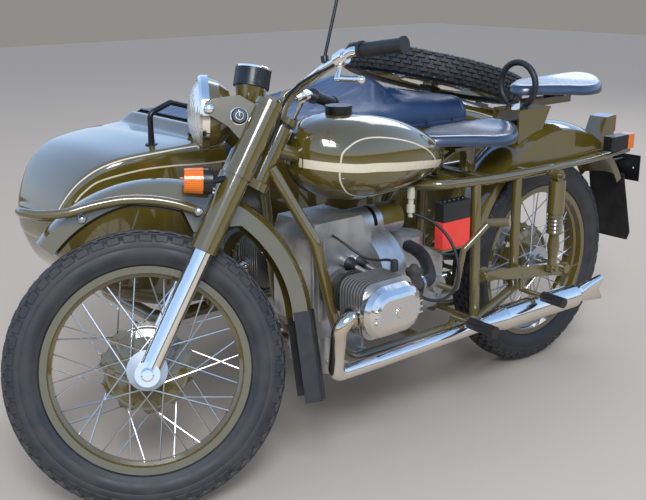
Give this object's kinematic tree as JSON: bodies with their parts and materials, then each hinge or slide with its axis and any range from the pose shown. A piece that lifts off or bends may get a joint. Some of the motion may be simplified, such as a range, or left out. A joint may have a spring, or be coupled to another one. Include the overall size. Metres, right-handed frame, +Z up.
{
  "type": "sidecar motorcycle",
  "caption": "Shaft-drive flat-twin motorcycle with a single-seat sidecar, wire wheels, two pan saddles, and a spare wheel on the sidecar's boot lid.",
  "frame": {"origin": "on the ground straight under the rear axle, in the motorcycle's middle plane", "axes": "+X forward, +Y to the rider's left, +Z up; the sidecar is on the right, at -Y"},
  "size_m": [2.4048, 1.6364, 1.3697],
  "materials": {
    "olive": "gloss olive paint",
    "black_paint": "black paint",
    "chrome": "polished chrome",
    "alloy": "cast and brushed alloy",
    "iron": "dark cast iron",
    "tyre": "black tyre rubber",
    "rubber": "black rubber",
    "vinyl": "black coated fabric",
    "amber": "amber lens",
    "red_lens": "red lens",
    "red_plastic": "red casing",
    "black_plastic": "black plastic",
    "lamp_glass": "clear ribbed glass"
  },
  "bodies": {
    "frame": {"main_frame": "olive", "swingarm": "olive", "rear_shocks": "olive", "final_drive": "alloy", "rear_fender": "olive", "rear_mudflap": "rubber", "plate_bracket": "black_paint", "tail_lamp": "olive", "tail_lamp_lens": "red_lens", "rear_signals": "black_plastic", "rear_signal_lenses": "amber", "fuel_tank": "olive", "filler_cap": "black_plastic", "engine_case": "alloy", "gearbox": "alloy", "cylinders": "iron", "cylinder_heads": "alloy", "rocker_covers": "alloy", "carburettors": "rubber", "exhausts": "chrome", "battery": "red_plastic", "driver_saddle": "rubber", "pillion_saddle": "rubber", "saddle_brackets": "olive", "grab_ring": "rubber", "footrests": "rubber", "kick_starter": "olive", "sidecar_chassis": "olive", "sidecar_body": "olive", "sidecar_cover": "vinyl", "sidecar_grab_rail": "black_paint", "sidecar_fender": "olive"},
    "fork": {"front_axle": "chrome", "fork_sliders": "chrome", "fork_covers": "olive", "fork_yoke": "olive", "headlamp_bowl": "olive", "headlamp_rim": "chrome", "headlamp_glass": "lamp_glass", "speedometer": "black_plastic", "handlebar": "chrome", "grips": "rubber", "levers": "chrome", "mirror": "black_plastic", "front_signals": "black_plastic", "front_signal_lenses": "amber", "front_fender": "olive", "fender_bow": "olive", "front_mudflap": "rubber"},
    "front_wheel": {"front_wheel": "olive", "front_tyre": "tyre"},
    "rear_wheel": {"rear_wheel": "olive", "rear_tyre": "tyre"},
    "sidecar_wheel": {"sidecar_wheel": "olive", "sidecar_tyre": "tyre"},
    "boot_lid": {"boot_lid": "olive", "spare_wheel": "olive", "spare_tyre": "tyre"},
    "centre_stand": {"centre_stand": "olive"}
  },
  "joints": [
    {"name": "steering", "type": "hinge", "parent": "frame", "child": "fork", "pos_m": [1.605, 0, 0], "axis": [-0.5299, 0, 0.848], "range_deg": [0, 65.4]},
    {"name": "front_wheel_spin", "type": "hinge", "parent": "fork", "child": "front_wheel", "pos_m": [1.44752, -0.03004, 0.34033], "axis": [0.4581, 0.8415, 0.2863], "continuous": true},
    {"name": "rear_wheel_spin", "type": "hinge", "parent": "frame", "child": "rear_wheel", "pos_m": [0, 0, 0.345], "axis": [0, 1, 0], "continuous": true},
    {"name": "sidecar_wheel_spin", "type": "hinge", "parent": "frame", "child": "sidecar_wheel", "pos_m": [0.22, -1.14, 0.345], "axis": [0, 1, 0], "continuous": true},
    {"name": "boot_lid_hinge", "type": "hinge", "parent": "frame", "child": "boot_lid", "pos_m": [-0.00159, -0.8186, 0.85358], "axis": [0.9618, 0, 0.2736], "range_deg": [0, 45]},
    {"name": "centre_stand_hinge", "type": "hinge", "parent": "frame", "child": "centre_stand", "pos_m": [0.376, 0, 0.238], "axis": [0, -1, 0], "range_deg": [0, 84]}
  ]
}
